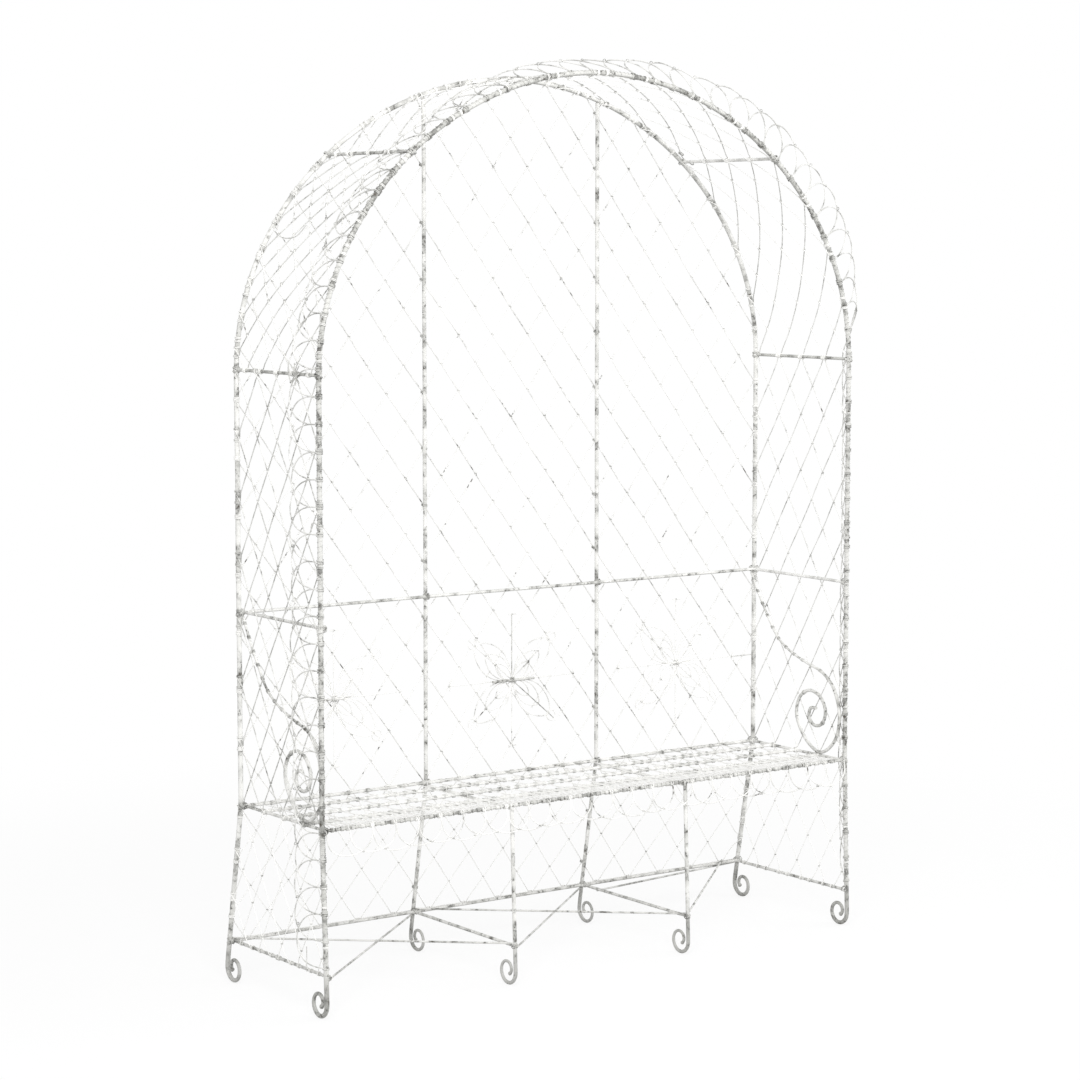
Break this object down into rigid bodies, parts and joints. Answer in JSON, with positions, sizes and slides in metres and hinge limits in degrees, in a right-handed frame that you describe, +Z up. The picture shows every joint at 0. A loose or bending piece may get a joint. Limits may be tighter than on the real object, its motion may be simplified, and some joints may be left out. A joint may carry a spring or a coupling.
{
  "type": "arbour seat",
  "caption": "Wirework garden arbour seat: arched hoops on scroll feet with a lattice back, ends and roof, looped edging, scroll arms and a wire seat.",
  "frame": {"origin": "on the floor under the middle of the whole", "axes": "+Z up, +Y to the lattice back, +X to the right seen from the front"},
  "size_m": [1.7312, 0.4822, 2.2775],
  "materials": {
    "rod": "chipped off-white paint over grey primer and rust",
    "wire": "worn off-white paint over grey wire"
  },
  "bodies": {
    "root": {"front_hoop": "rod", "back_hoop": "rod", "back_upright_left": "rod", "back_upright_right": "rod", "front_leg_left": "rod", "front_leg_right": "rod", "seat_front_rail": "rod", "seat_back_rail": "rod", "seat_rod_1": "rod", "seat_rod_2": "rod", "seat_rod_3": "rod", "seat_end_rail_left": "rod", "seat_end_rail_right": "rod", "seat_bearer_left": "rod", "seat_bearer_right": "rod", "back_arm_rail": "rod", "arm_rail_left": "rod", "arm_rail_right": "rod", "arm_left": "rod", "arm_right": "rod", "spring_bar_left": "rod", "spring_bar_right": "rod", "haunch_bar_left": "rod", "haunch_bar_right": "rod", "back_stretcher": "rod", "end_stretcher_left": "rod", "end_stretcher_right": "rod", "cross_stretcher_left": "rod", "cross_stretcher_right": "rod", "brace_left_over": "rod", "brace_left_under": "rod", "brace_middle_over": "rod", "brace_middle_under": "rod", "brace_right_over": "rod", "brace_right_under": "rod", "seat_lacing_1": "wire", "seat_lacing_2": "wire", "seat_lacing_3": "wire", "seat_lacing_4": "wire", "seat_apron": "wire", "back_lattice": "wire", "back_skirt": "wire", "end_lattice_left": "wire", "end_lattice_right": "wire", "end_skirt_left": "wire", "end_skirt_right": "wire", "roof_lattice_left": "wire", "roof_lattice_crown": "wire", "roof_lattice_right": "wire", "front_edging": "wire", "rosette_left": "wire", "rosette_middle": "wire", "rosette_right": "wire"}
  },
  "joints": []
}
